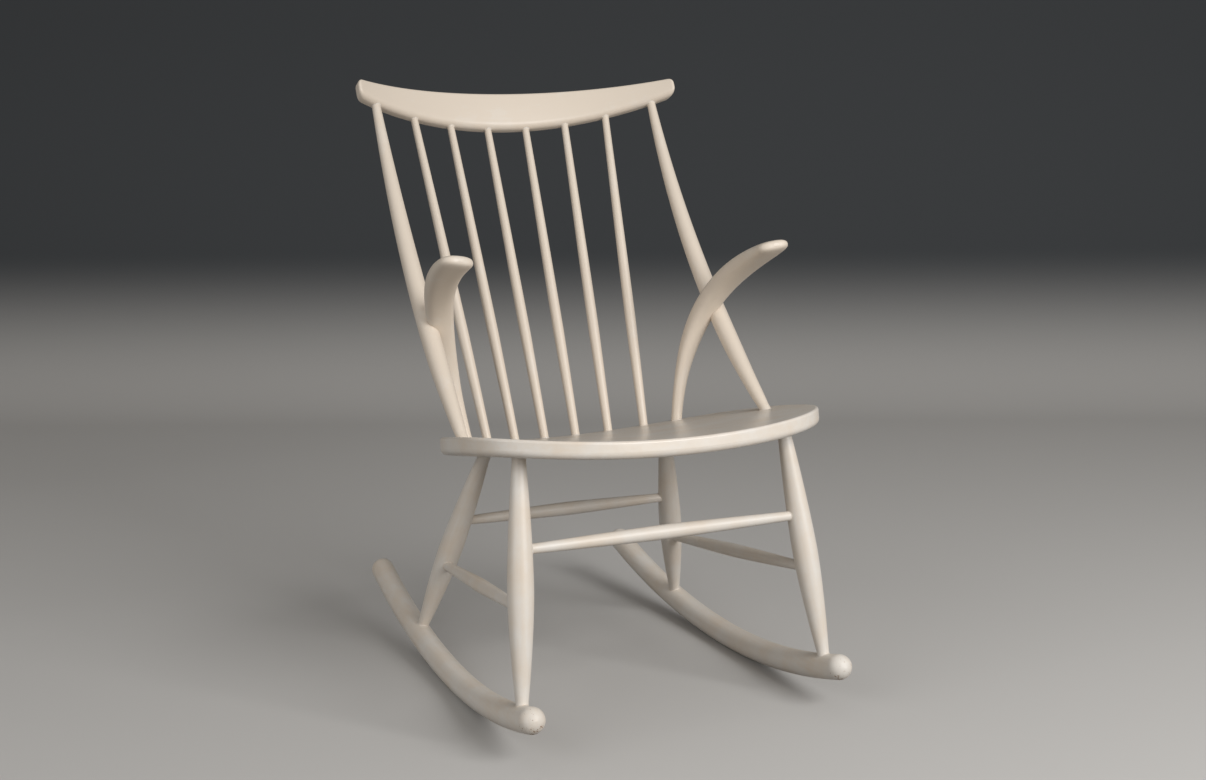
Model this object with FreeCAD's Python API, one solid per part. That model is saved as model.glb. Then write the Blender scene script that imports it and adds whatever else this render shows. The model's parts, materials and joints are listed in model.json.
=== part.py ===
import FreeCAD, Part
import math
import os

from FreeCAD import Vector

# A painted rocking chair with a spindle back, in millimetres.
# The floor is z = 0, the front of the chair faces -y and the sitter's left is +x.
# The origin is on the floor, in the middle of the chair's width and depth.

# Fits
SOCKET_CLEARANCE = 0.15
SOCKET_END_GAP = 0.3
TENON_CHAMFER = 1.0
TENON_SHOW = 4.0
CUT_OVERRUN = 5.0

# Stations along a turned piece
TURNING_STATIONS = 13

# Rockers: round bars bent to a tighter arc in front and a flatter one behind, with domed ends
ROCKER_DIAMETER = 39.4
ROCKER_FRONT_RADIUS = 1117.0
ROCKER_REAR_RADIUS = 1359.0
ROCKER_LENGTH = 790.0
ROCKER_TOUCH_BEHIND_FRONT = 347.5
ROCKER_INSET = 47.0
ROCKER_SPLAY = 1.2

# Legs: swelled turnings between seat and rocker
LEG_BELLY_DIAMETER = 39.0
LEG_HEAD_DIAMETER = 21.0
LEG_FOOT_DIAMETER = 19.0
LEG_BELLY_SHARE = 0.46
LEG_CURVE = 1.6
LEG_HEAD_TENON = 18.0
LEG_FOOT_TENON = 16.0
LEG_HEAD_SHOW = 7.0
FRONT_FOOT_BEHIND_ROCKER_FRONT = 57.0
REAR_FOOT_BEHIND_ROCKER_FRONT = 548.0
FRONT_HEAD_INSET = 69.2
FRONT_HEAD_BEFORE_WIDEST = 68.6
REAR_HEAD_INSET = 125.5
REAR_HEAD_BEHIND_WIDEST = 226.5

# Stretchers: swelled turnings between legs
STRETCHER_BELLY_DIAMETER = 22.5
STRETCHER_END_DIAMETER = 15.0
STRETCHER_BELLY_SHARE = 0.5
STRETCHER_CURVE = 1.3
STRETCHER_TENON = 15.0
FRONT_STRETCHER_HEIGHT = 290.0
REAR_STRETCHER_HEIGHT = 242.0
SIDE_STRETCHER_FRONT_HEIGHT = 209.0
SIDE_STRETCHER_REAR_HEIGHT = 163.0

# Seat: one board, rounded in plan, hollowed across like a shallow trough
SEAT_WIDTH = 578.0
SEAT_THICKNESS = 25.5
SEAT_TILT = 10.6
SEAT_TROUGH_RADIUS = 1587.0
SEAT_WIDEST_Y = -189.0
SEAT_WIDEST_HEIGHT = 416.0
SEAT_FRONT_REACH = 183.0
SEAT_REAR_REACH = 322.0
SEAT_FRONT_FULLNESS = 2.65
SEAT_REAR_FULLNESS = 2.2
SEAT_TOP_ROUND = 4.0
SEAT_UNDER_ROUND = 10.0
SEAT_QUARTER_POINTS = 12

# Crest rail: a bent board, deepest in the middle, with its ends cut fore and aft
CREST_WIDTH = 581.0
CREST_THICKNESS = 23.0
CREST_HEIGHT = 65.6
CREST_LEAN = 24.4
CREST_BEND_RADIUS = 482.0
CREST_UNDER_RISE = 20.6
CREST_TOP_DROP = 15.6
CREST_END_ROUND = 10.0
CREST_EDGE_ROUND = 4.0
CREST_MOST_END_ROUND_SHARE = 0.36
CREST_MOST_EDGE_ROUND_SHARE = 0.85
CREST_Y = 333.5
CREST_HEIGHT_AT_MIDDLE = 869.1

# Spindles: straight swelled turnings between seat and crest rail
SPINDLE_COUNT = 6
SPINDLE_FOOT_INSET = 146.5
SPINDLE_HEAD_INSET = 111.8
SPINDLE_BELLY_DIAMETER = 18.3
SPINDLE_FOOT_DIAMETER = 14.2
SPINDLE_HEAD_DIAMETER = 12.2
SPINDLE_BELLY_SHARE = 0.33
SPINDLE_CURVE = 1.2
SPINDLE_FOOT_TENON = 18.0
SPINDLE_HEAD_TENON = 22.0
FOOT_INSET = 20.0

# Back posts: thicker turnings, bowed to the rear and a little inwards
POST_FOOT_INSET = 29.0
POST_FOOT_BEHIND_WIDEST = 57.0
POST_HEAD_INSET = 35.9
POST_BOW = 34.5
POST_BOW_INWARD = 2.5
POST_BELLY_DIAMETER = 31.0
POST_FOOT_DIAMETER = 17.5
POST_HEAD_DIAMETER = 14.6
POST_BELLY_SHARE = 0.29
POST_CURVE = 1.8
POST_FOOT_TENON = 18.0
POST_HEAD_TENON = 16.0
POST_FOOT_SHOW = 7.0
POST_STATIONS = 13

# Arms: horns that rise from the seat, cross the posts and flatten towards the tip
ARM_FOOT_INSET = 99.5
ARM_FOOT_DIAMETER = 18.0
ARM_FOOT_TENON = 18.0
ARM_TIP_FROM_FOOT = (74.5, -199.0, 312.0)
ARM_FOOT_HANDLE = (42.0, 53.0, 230.0)
ARM_TIP_HANDLE = (14.0, 74.0, -28.0)
ARM_TIP_TWIST = 6.0
ARM_WIDTH = 53.0
ARM_THICKNESS = 34.0
ARM_STATION_SHARES = (0.03, 0.06, 0.1, 0.2, 0.3, 0.4, 0.5, 0.6, 0.7, 0.8, 0.86, 0.92, 0.96, 0.985, 0.996, 1.0)
ARM_WIDTH_SHARES = (
    0.355, 0.38, 0.42, 0.57, 0.7, 0.79, 0.85, 0.91, 0.95, 0.98, 1.0, 1.0, 0.92, 0.7, 0.4, 0.16,
)
ARM_THICKNESS_SHARES = (
    0.54, 0.57, 0.6, 0.77, 0.89, 0.96, 0.98, 0.97, 0.91, 0.8, 0.72, 0.62, 0.53, 0.41, 0.26, 0.14,
)
ARM_ROUND_FULLNESS = 2.0
ARM_SECTION_FULLNESS = 2.5
ARM_FULL_FROM_SHARE = 0.25
ARM_SECTION_POINTS = 16

# Lap dowels: hidden pins that lock each arm to its post
LAP_DOWEL_DIAMETER = 8.0
LAP_DOWEL_LENGTH = 22.0


def unit(vector):
    return vector / vector.Length


def mirrored(shape):
    return shape.mirror(Vector(0, 0, 0), Vector(1, 0, 0))


def turned_along(shape, start, direction):
    # Move a shape made along +z so that it starts at a point and runs in a direction.
    turn = FreeCAD.Rotation(Vector(0, 0, 1), direction)
    moved = shape.copy()
    moved.Placement = FreeCAD.Placement(start, turn)
    return moved


# Turnings and sockets

class Mouth:
    # A socket's mouth: its centre, the way into the wood, the tenon's size and the bare length outside.
    def __init__(self, centre, inward, diameter, depth, show):
        self.centre = centre
        self.inward = unit(inward)
        self.diameter = diameter
        self.depth = depth
        self.show = show

    def mirrored(self):
        centre = Vector(-self.centre.x, self.centre.y, self.centre.z)
        inward = Vector(-self.inward.x, self.inward.y, self.inward.z)
        return Mouth(centre, inward, self.diameter, self.depth, self.show)

    def shoulder(self):
        # Where the bare tenon ends and the swelling starts.
        return self.centre - self.inward * self.show

    def tenon(self):
        # The plain round tenon from the shoulder to the bottom of the socket, with a chamfered tip.
        radius = self.diameter / 2
        straight = self.show + self.depth - SOCKET_END_GAP - TENON_CHAMFER
        rod = Part.makeCylinder(radius, straight)
        tip = Part.makeCone(radius, radius - TENON_CHAMFER, TENON_CHAMFER)
        tip.translate(Vector(0, 0, straight))
        return turned_along(rod.fuse(tip), self.shoulder(), self.inward)

    def socket(self):
        # The cutter for the socket, long enough outside to clear a slanted surface.
        outside = self.diameter + CUT_OVERRUN
        bore = Part.makeCylinder(self.diameter / 2 + SOCKET_CLEARANCE, outside + self.depth)
        return turned_along(bore, self.centre - self.inward * outside, self.inward)


def drilled(piece, mouths):
    for mouth in mouths:
        piece = piece.cut(mouth.socket())
    return piece


def with_mirrored(mouths):
    return mouths + [mouth.mirrored() for mouth in mouths]


def swell(share, belly_share, foot, belly, head, curve):
    # Diameter of a swelled turning at a share of its length, thickest at the belly.
    if share < belly_share:
        away = (belly_share - share) / belly_share
        end = foot
    else:
        away = (share - belly_share) / (1 - belly_share)
        end = head
    return belly - (belly - end) * away ** curve


def turning_mouths(foot, head, diameters, depths, shows):
    # The mouths at both ends of a straight turning, each pointing away from the other.
    along = head - foot
    low = Mouth(foot, -along, diameters[0], depths[0], shows[0])
    high = Mouth(head, along, diameters[1], depths[1], shows[1])
    return low, high


def straight_turning(mouths, diameter_at):
    # A turning between two mouths: a tenon, the swelled part and a tenon, as one revolved piece.
    foot, head = mouths
    start = foot.shoulder()
    axis = head.shoulder() - start
    length = axis.Length
    body = []
    for index in range(TURNING_STATIONS):
        share = index / (TURNING_STATIONS - 1)
        body.append(Vector(diameter_at(share) / 2, 0, share * length))
    curve = Part.BSplineCurve()
    curve.interpolate(body)
    low = SOCKET_END_GAP - foot.show - foot.depth
    high = length + head.show + head.depth - SOCKET_END_GAP
    foot_radius = foot.diameter / 2
    head_radius = head.diameter / 2
    before = [
        Vector(0, 0, low),
        Vector(foot_radius - TENON_CHAMFER, 0, low),
        Vector(foot_radius, 0, low + TENON_CHAMFER),
        body[0],
    ]
    after = [
        body[-1],
        Vector(head_radius, 0, high - TENON_CHAMFER),
        Vector(head_radius - TENON_CHAMFER, 0, high),
        Vector(0, 0, high),
        before[0],
    ]
    edges = []
    for first, second in zip(before, before[1:]):
        edges.append(Part.makeLine(first, second))
    edges.append(curve.toShape())
    for first, second in zip(after, after[1:]):
        edges.append(Part.makeLine(first, second))
    face = Part.Face(Part.Wire(edges))
    solid = face.revolve(Vector(0, 0, 0), Vector(0, 0, 1), 360)
    return turned_along(solid, start, axis)


# Places that the sizes give

SEAT_SIDE = SEAT_WIDTH / 2
ROCKER_TUBE = ROCKER_DIAMETER / 2
ROCKER_FRONT_Y = -ROCKER_LENGTH / 2
ROCKER_TOUCH_Y = ROCKER_FRONT_Y + ROCKER_TOUCH_BEHIND_FRONT
FRONT_FOOT_Y = ROCKER_FRONT_Y + FRONT_FOOT_BEHIND_ROCKER_FRONT
REAR_FOOT_Y = ROCKER_FRONT_Y + REAR_FOOT_BEHIND_ROCKER_FRONT


# Rockers

def rocker_centre(y):
    # Point of the left rocker's centre line at a distance along the chair.
    reach = y - ROCKER_TOUCH_Y
    radius = ROCKER_REAR_RADIUS if reach > 0 else ROCKER_FRONT_RADIUS
    z = ROCKER_TUBE + radius - math.sqrt(radius ** 2 - reach ** 2)
    x = SEAT_SIDE - ROCKER_INSET - (y - REAR_FOOT_Y) * math.tan(math.radians(ROCKER_SPLAY))
    return Vector(x, y, z)


def rocker_half(radius, reach, side):
    # The bar from the lowest point to one domed end, to the front for side -1.
    low = Vector(0, 0, ROCKER_TUBE)
    hub = Vector(0, 0, ROCKER_TUBE + radius)
    sweep = side * math.asin((reach - ROCKER_TUBE) / radius)
    circle = Part.Circle(low, Vector(0, 1, 0), ROCKER_TUBE)
    face = Part.Face(Part.Wire([circle.toShape()]))
    bar = face.revolve(hub, Vector(1, 0, 0), math.degrees(sweep))
    centre = hub + Vector(0, math.sin(sweep), -math.cos(sweep)) * radius
    outward = Vector(0, math.cos(sweep), math.sin(sweep)) * side
    dome = Part.makeSphere(ROCKER_TUBE, Vector(0, 0, 0), Vector(0, 0, 1), 0, 90, 360)
    return bar.fuse(turned_along(dome, centre, outward))


def make_rocker():
    front = rocker_half(ROCKER_FRONT_RADIUS, ROCKER_TOUCH_BEHIND_FRONT, -1)
    rear = rocker_half(ROCKER_REAR_RADIUS, ROCKER_LENGTH - ROCKER_TOUCH_BEHIND_FRONT, 1)
    bar = front.fuse(rear).removeSplitter()
    bar.rotate(Vector(0, 0, 0), Vector(0, 0, 1), ROCKER_SPLAY)
    bar.translate(rocker_centre(ROCKER_TOUCH_Y) - Vector(0, 0, ROCKER_TUBE))
    return bar


# Seat

def seat_outline_y(x):
    # Distance of the rear edge behind the widest line, measured along the seat.
    share = min(abs(x) / SEAT_SIDE, 1)
    return SEAT_REAR_REACH * (1 - share ** SEAT_REAR_FULLNESS) ** (1 / SEAT_REAR_FULLNESS)


def seat_point(x, along, depth=0):
    # Point at x, at a distance along the tilted seat, and at a depth below its top face.
    rise = SEAT_TROUGH_RADIUS - math.sqrt(SEAT_TROUGH_RADIUS ** 2 - x ** 2) - depth
    tilt = math.radians(SEAT_TILT)
    y = SEAT_WIDEST_Y + along * math.cos(tilt) + rise * math.sin(tilt)
    z = SEAT_WIDEST_HEIGHT - along * math.sin(tilt) + rise * math.cos(tilt)
    return Vector(x, y, z)


def seat_point_at(x, y, depth=0):
    # Point of the seat at that depth, straight above or below a place on the floor.
    tilt = math.radians(SEAT_TILT)
    near = seat_point(x, 0, depth)
    return seat_point(x, (y - near.y) / math.cos(tilt), depth)


def rear_foot(x):
    # Point on the seat's top face, set in from the rear edge.
    return seat_point(x, seat_outline_y(x) - FOOT_INSET)


def quarter_outline(reach, fullness):
    points = []
    for index in range(SEAT_QUARTER_POINTS + 1):
        angle = math.pi / 2 * index / SEAT_QUARTER_POINTS
        x = SEAT_SIDE * math.cos(angle) ** (2 / fullness)
        y = reach * math.sin(angle) ** (2 / fullness)
        points.append((x, y))
    return points


def seat_outline():
    # The board's outline in plan, lying flat with its widest line on y = 0.
    rear = quarter_outline(SEAT_REAR_REACH, SEAT_REAR_FULLNESS)
    front = quarter_outline(SEAT_FRONT_REACH, SEAT_FRONT_FULLNESS)
    loop = [Vector(x, y, 0) for x, y in rear]
    loop += [Vector(-x, y, 0) for x, y in reversed(rear[:-1])]
    loop += [Vector(-x, -y, 0) for x, y in front[1:]]
    loop += [Vector(x, -y, 0) for x, y in reversed(front[1:-1])]
    curve = Part.BSplineCurve()
    curve.interpolate(Points=loop, PeriodicFlag=True)
    return Part.Face(Part.Wire([curve.toShape()]))


def rim_edges(board, radius):
    # The long edges of the flat-lying board that lie on one of its two hollow faces.
    chosen = []
    for edge in board.Edges:
        middle = edge.valueAt((edge.FirstParameter + edge.LastParameter) / 2)
        away = math.hypot(middle.x, middle.z - SEAT_TROUGH_RADIUS) - radius
        if abs(away) < SEAT_TOP_ROUND / 2 and edge.Length > SEAT_SIDE:
            chosen.append(edge)
    return chosen


def make_seat():
    outline = seat_outline()
    low = SEAT_THICKNESS + CUT_OVERRUN
    outline.translate(Vector(0, 0, -low))
    prism = outline.extrude(Vector(0, 0, low + SEAT_SIDE))
    span = SEAT_REAR_REACH + SEAT_FRONT_REACH + 2 * CUT_OVERRUN
    start = Vector(0, -SEAT_FRONT_REACH - CUT_OVERRUN, SEAT_TROUGH_RADIUS)
    along = Vector(0, 1, 0)
    outer = Part.makeCylinder(SEAT_TROUGH_RADIUS + SEAT_THICKNESS, span, start, along)
    inner = Part.makeCylinder(SEAT_TROUGH_RADIUS, span, start, along)
    board = prism.common(outer).cut(inner)
    board = board.makeFillet(SEAT_UNDER_ROUND, rim_edges(board, SEAT_TROUGH_RADIUS + SEAT_THICKNESS))
    board = board.makeFillet(SEAT_TOP_ROUND, rim_edges(board, SEAT_TROUGH_RADIUS))
    board.rotate(Vector(0, 0, 0), Vector(1, 0, 0), -SEAT_TILT)
    board.translate(Vector(0, SEAT_WIDEST_Y, SEAT_WIDEST_HEIGHT))
    return board


# Crest rail

def arc_rise(x, rise):
    # Height at x of the arc that climbs by the given rise from the middle to half the rail's width.
    radius = ((CREST_WIDTH / 2) ** 2 + rise ** 2) / (2 * rise)
    return radius - math.sqrt(radius ** 2 - x ** 2)


def crest_under(x):
    return arc_rise(x, CREST_UNDER_RISE)


def crest_top(x):
    return CREST_HEIGHT - arc_rise(x, CREST_TOP_DROP)


def crest_point(x):
    # Point in the middle of the rail's thickness, on its lower edge.
    lean = math.radians(CREST_LEAN)
    height = crest_under(x)
    bend = CREST_BEND_RADIUS - math.sqrt(CREST_BEND_RADIUS ** 2 - x ** 2)
    y = CREST_Y + height * math.sin(lean) - bend * math.cos(lean)
    z = CREST_HEIGHT_AT_MIDDLE + height * math.cos(lean) + bend * math.sin(lean)
    return Vector(x, y, z)


def crest_slab():
    # The rail's outline seen from the front, with round corners, as a slab that is thicker than the rail.
    half = CREST_WIDTH / 2
    corners = [Vector(side * half, 0, edge(half)) for side in (-1, 1) for edge in (crest_under, crest_top)]
    low_left, high_left, low_right, high_right = corners
    under_arc = Part.Arc(low_left, Vector(0, 0, 0), low_right)
    top_arc = Part.Arc(high_right, Vector(0, 0, CREST_HEIGHT), high_left)
    left_end = Part.makeLine(high_left, low_left)
    right_end = Part.makeLine(low_right, high_right)
    face = Part.Face(Part.Wire([under_arc.toShape(), right_end, top_arc.toShape(), left_end]))
    face.translate(Vector(0, -CREST_BEND_RADIUS, 0))
    slab = face.extrude(Vector(0, CREST_BEND_RADIUS + 2 * CREST_THICKNESS, 0))
    long_edges = []
    for edge in slab.Edges:
        if abs(edge.Vertexes[0].Y - edge.Vertexes[-1].Y) > CREST_BEND_RADIUS:
            long_edges.append(edge)
    return slab.makeFillet(crest_end_round(), long_edges)


def crest_end_round():
    # The round at the corners of the ends, limited by the ends' height.
    half = CREST_WIDTH / 2
    return min(CREST_END_ROUND, CREST_MOST_END_ROUND_SHARE * (crest_top(half) - crest_under(half)))


def crest_edge_round():
    # The round along the edges, limited by the end's round corners and by the sharp angle of its front edge.
    bend = math.asin(CREST_WIDTH / 2 / (CREST_BEND_RADIUS - CREST_THICKNESS / 2))
    sharp = math.pi / 2 - bend
    return min(CREST_EDGE_ROUND, CREST_MOST_EDGE_ROUND_SHARE * crest_end_round() * math.tan(sharp / 2))


def crest_face_edges(rail):
    # The edges that run round the front and rear faces, not those across the thickness.
    chosen = []
    for edge in rail.Edges:
        away = [math.hypot(vertex.X, vertex.Y + CREST_BEND_RADIUS) for vertex in edge.Vertexes]
        if max(away) - min(away) < CREST_THICKNESS / 2:
            chosen.append(edge)
    return chosen


def make_crest():
    hub = Vector(0, -CREST_BEND_RADIUS, -CREST_HEIGHT)
    outer = Part.makeCylinder(CREST_BEND_RADIUS + CREST_THICKNESS / 2, 3 * CREST_HEIGHT, hub)
    inner = Part.makeCylinder(CREST_BEND_RADIUS - CREST_THICKNESS / 2, 3 * CREST_HEIGHT, hub)
    rail = crest_slab().common(outer.cut(inner)).Solids[0]
    rail = rail.makeFillet(crest_edge_round(), crest_face_edges(rail))
    rail.rotate(Vector(0, 0, 0), Vector(1, 0, 0), -CREST_LEAN)
    rail.translate(Vector(0, CREST_Y, CREST_HEIGHT_AT_MIDDLE))
    return rail


# Legs

def leg_diameter(share):
    belly = LEG_BELLY_DIAMETER
    return swell(share, LEG_BELLY_SHARE, LEG_FOOT_DIAMETER, belly, LEG_HEAD_DIAMETER, LEG_CURVE)


def leg_mouths(foot_y, head_inset, head_behind_widest):
    # The mouths in the left rocker's top and in the seat's underside.
    centre = rocker_centre(foot_y)
    head = seat_point_at(SEAT_SIDE - head_inset, SEAT_WIDEST_Y + head_behind_widest, SEAT_THICKNESS)
    foot = centre + unit(head - centre) * ROCKER_TUBE
    diameters = (LEG_FOOT_DIAMETER, LEG_HEAD_DIAMETER)
    depths = (LEG_FOOT_TENON, LEG_HEAD_TENON)
    return turning_mouths(foot, head, diameters, depths, (TENON_SHOW, LEG_HEAD_SHOW))


def leg_axis_at(mouths, height):
    # Point on a leg's axis at a height, and the leg's radius there.
    foot, head = (mouth.shoulder() for mouth in mouths)
    share = (height - foot.z) / (head.z - foot.z)
    return foot + (head - foot) * share, leg_diameter(share) / 2


# Stretchers

def stretcher_diameter(share):
    end = STRETCHER_END_DIAMETER
    return swell(share, STRETCHER_BELLY_SHARE, end, STRETCHER_BELLY_DIAMETER, end, STRETCHER_CURVE)


def stretcher_mouths(first, first_radius, second, second_radius):
    # The mouths on the surfaces of two legs, for a stretcher that runs between their axes.
    along = unit(second - first)
    ends = (STRETCHER_END_DIAMETER, STRETCHER_END_DIAMETER)
    start = first + along * first_radius
    stop = second - along * second_radius
    return turning_mouths(start, stop, ends, (STRETCHER_TENON, STRETCHER_TENON), (TENON_SHOW, TENON_SHOW))


def cross_stretcher_mouths(leg, height):
    point, radius = leg_axis_at(leg, height)
    return stretcher_mouths(point, radius, Vector(-point.x, point.y, point.z), radius)


def side_stretcher_mouths(front_leg, rear_leg):
    front, front_radius = leg_axis_at(front_leg, SIDE_STRETCHER_FRONT_HEIGHT)
    rear, rear_radius = leg_axis_at(rear_leg, SIDE_STRETCHER_REAR_HEIGHT)
    return stretcher_mouths(front, front_radius, rear, rear_radius)


# Spindles

def spindle_diameter(share):
    belly = SPINDLE_BELLY_DIAMETER
    foot = SPINDLE_FOOT_DIAMETER
    return swell(share, SPINDLE_BELLY_SHARE, foot, belly, SPINDLE_HEAD_DIAMETER, SPINDLE_CURVE)


def spindle_mouths(place):
    # Mouths in the seat and in the rail, for a place from -1 at the right spindle to 1 at the left one.
    foot = rear_foot(place * (SEAT_SIDE - SPINDLE_FOOT_INSET))
    head = crest_point(place * (CREST_WIDTH / 2 - SPINDLE_HEAD_INSET))
    diameters = (SPINDLE_FOOT_DIAMETER, SPINDLE_HEAD_DIAMETER)
    depths = (SPINDLE_FOOT_TENON, SPINDLE_HEAD_TENON)
    return turning_mouths(foot, head, diameters, depths, (TENON_SHOW, TENON_SHOW))


# Back posts

def post_arc():
    # The bowed centre line from the seat's top face to the rail's lower edge.
    foot = seat_point_at(SEAT_SIDE - POST_FOOT_INSET, SEAT_WIDEST_Y + POST_FOOT_BEHIND_WIDEST)
    head = crest_point(CREST_WIDTH / 2 - POST_HEAD_INSET)
    across = unit((head - foot).cross(Vector(1, 0, 0)))
    middle = (foot + head) / 2 - across * math.copysign(POST_BOW, across.z)
    return Part.Arc(foot, middle - Vector(POST_BOW_INWARD, 0, 0), head)


def post_diameter(share):
    belly = POST_BELLY_DIAMETER
    return swell(share, POST_BELLY_SHARE, POST_FOOT_DIAMETER, belly, POST_HEAD_DIAMETER, POST_CURVE)


def post_swelled_range():
    # The parameters of the arc between which the post is swelled.
    arc = post_arc()
    span = (arc.LastParameter - arc.FirstParameter) / arc.length()
    return arc.FirstParameter + span * POST_FOOT_SHOW, arc.LastParameter - span * TENON_SHOW


def post_mouths():
    arc = post_arc()
    low, high = post_swelled_range()
    foot_way = -arc.tangent(low)[0]
    head_way = arc.tangent(high)[0]
    foot = arc.value(low) + foot_way * POST_FOOT_SHOW
    head = arc.value(high) + head_way * TENON_SHOW
    return (
        Mouth(foot, foot_way, POST_FOOT_DIAMETER, POST_FOOT_TENON, POST_FOOT_SHOW),
        Mouth(head, head_way, POST_HEAD_DIAMETER, POST_HEAD_TENON, TENON_SHOW),
    )


def make_post():
    arc = post_arc()
    low, high = post_swelled_range()
    rings = []
    for index in range(POST_STATIONS):
        share = index / (POST_STATIONS - 1)
        parameter = low + (high - low) * share
        ring = Part.Circle(arc.value(parameter), arc.tangent(parameter)[0], post_diameter(share) / 2)
        rings.append(Part.Wire([ring.toShape()]))
    post = Part.makeLoft(rings, True, False)
    for mouth in post_mouths():
        post = post.fuse(mouth.tenon())
    return post.removeSplitter()


# Arms

def arm_mouth():
    foot = rear_foot(SEAT_SIDE - ARM_FOOT_INSET)
    return Mouth(foot, -Vector(*ARM_FOOT_HANDLE), ARM_FOOT_DIAMETER, ARM_FOOT_TENON, TENON_SHOW)


def arm_curve():
    # Centre line from the shoulder of the foot's tenon to the tip.
    foot = arm_mouth()
    start = foot.shoulder()
    tip = foot.centre + Vector(*ARM_TIP_FROM_FOOT)
    curve = Part.BezierCurve()
    curve.setPoles([start, start + Vector(*ARM_FOOT_HANDLE), tip + Vector(*ARM_TIP_HANDLE), tip])
    return curve


def rounded_power(value, fullness):
    return math.copysign(abs(value) ** (2 / fullness), value)


def arm_fullness(share):
    # Round at the foot, and from a share of the length on with flatter sides.
    growth = min(share / ARM_FULL_FROM_SHARE, 1)
    return ARM_ROUND_FULLNESS + (ARM_SECTION_FULLNESS - ARM_ROUND_FULLNESS) * growth


def arm_ways(curve, share):
    # The ways along and across the arm, which turns a little about its centre line towards the tip.
    along = curve.tangent(share)[0]
    side = Vector(1, 0, 0)
    side = unit(side - along * side.dot(along))
    return along, FreeCAD.Rotation(along, ARM_TIP_TWIST * share ** 2).multVec(side)


def arm_foot_ring(curve):
    # The circle in which the arm meets its tenon.
    along, side = arm_ways(curve, 0)
    ring = Part.Circle(curve.value(0), along, ARM_FOOT_DIAMETER / 2)
    ring.XAxis = side
    return Part.Wire([ring.toShape()])


def arm_section(curve, share, width, thickness):
    # A flattened round section, square to the centre line.
    centre = curve.value(share)
    along, side = arm_ways(curve, share)
    over = along.cross(side)
    fullness = arm_fullness(share)
    points = []
    for index in range(ARM_SECTION_POINTS):
        angle = 2 * math.pi * index / ARM_SECTION_POINTS
        across = rounded_power(math.cos(angle), fullness) * width / 2
        up = rounded_power(math.sin(angle), fullness) * thickness / 2
        points.append(centre + side * across + over * up)
    ring = Part.BSplineCurve()
    ring.interpolate(Points=points, PeriodicFlag=True)
    return Part.Wire([ring.toShape()])


def make_arm():
    curve = arm_curve()
    rings = [arm_foot_ring(curve)]
    for station, wide, thick in zip(ARM_STATION_SHARES, ARM_WIDTH_SHARES, ARM_THICKNESS_SHARES):
        rings.append(arm_section(curve, station, wide * ARM_WIDTH, thick * ARM_THICKNESS))
    arm = Part.makeLoft(rings, True, False)
    return arm.fuse(arm_mouth().tenon()).removeSplitter()


# Half lap where each arm crosses its post

def lap_centre():
    # Middle of the shortest line between the arm's and the post's centre lines.
    gap = arm_curve().toShape().distToShape(post_arc().toShape())
    on_arm, on_post = gap[1][0]
    return (on_arm + on_post) / 2


def half_lapped(arm, post):
    # Beyond the lap plane the post stays whole, and inside it the arm does.
    reach = ARM_WIDTH + POST_BELLY_DIAMETER
    corner = lap_centre() - Vector(0, reach, reach)
    beyond = Part.makeBox(reach, 2 * reach, 2 * reach, corner)
    return arm.cut(post.common(beyond)), post.cut(arm.cut(beyond))


def lap_pin(diameter, length):
    start = lap_centre() - Vector(length / 2, 0, 0)
    return Part.makeCylinder(diameter / 2, length, start, Vector(1, 0, 0))


def make_lap_dowel():
    return lap_pin(LAP_DOWEL_DIAMETER, LAP_DOWEL_LENGTH)


def lap_hole():
    return lap_pin(LAP_DOWEL_DIAMETER + 2 * SOCKET_CLEARANCE, LAP_DOWEL_LENGTH + 2 * SOCKET_END_GAP)


# Assembly

def make_left_side():
    # The left-hand pieces of each pair, and their mouths in the seat and in the crest rail.
    front_leg = leg_mouths(FRONT_FOOT_Y, FRONT_HEAD_INSET, -FRONT_HEAD_BEFORE_WIDEST)
    rear_leg = leg_mouths(REAR_FOOT_Y, REAR_HEAD_INSET, REAR_HEAD_BEHIND_WIDEST)
    side = side_stretcher_mouths(front_leg, rear_leg)
    front_cross = cross_stretcher_mouths(front_leg, FRONT_STRETCHER_HEIGHT)
    rear_cross = cross_stretcher_mouths(rear_leg, REAR_STRETCHER_HEIGHT)
    arm, post = half_lapped(make_arm(), make_post())
    post_foot, post_head = post_mouths()
    pieces = {
        "rocker": drilled(make_rocker(), [front_leg[0], rear_leg[0]]),
        "front_leg": drilled(straight_turning(front_leg, leg_diameter), [side[0], front_cross[0]]),
        "rear_leg": drilled(straight_turning(rear_leg, leg_diameter), [side[1], rear_cross[0]]),
        "side_stretcher": straight_turning(side, stretcher_diameter),
        "back_post": post.cut(lap_hole()),
        "arm": arm.cut(lap_hole()),
        "arm_dowel": make_lap_dowel(),
    }
    crosses = {"front_stretcher": front_cross, "rear_stretcher": rear_cross}
    return pieces, crosses, [front_leg[1], rear_leg[1], post_foot, arm_mouth()], [post_head]


def make_spindles():
    # The spindles from the right to the left of the chair, each with its two mouths.
    spindles = []
    for index in range(SPINDLE_COUNT):
        mouths = spindle_mouths(2 * index / (SPINDLE_COUNT - 1) - 1)
        spindles.append((straight_turning(mouths, spindle_diameter), mouths))
    return spindles


def make_pieces():
    left, crosses, seat_mouths, crest_mouths = make_left_side()
    seat_mouths = with_mirrored(seat_mouths)
    crest_mouths = with_mirrored(crest_mouths)
    pieces = {}
    for number, (spindle, mouths) in enumerate(make_spindles(), start=1):
        pieces["spindle_%d" % number] = spindle
        seat_mouths.append(mouths[0])
        crest_mouths.append(mouths[1])
    pieces["seat"] = drilled(make_seat(), seat_mouths)
    pieces["crest_rail"] = drilled(make_crest(), crest_mouths)
    for name, mouths in crosses.items():
        pieces[name] = straight_turning(mouths, stretcher_diameter)
    for name, shape in left.items():
        pieces[name + "_left"] = shape
        pieces[name + "_right"] = mirrored(shape)
    return pieces


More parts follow.
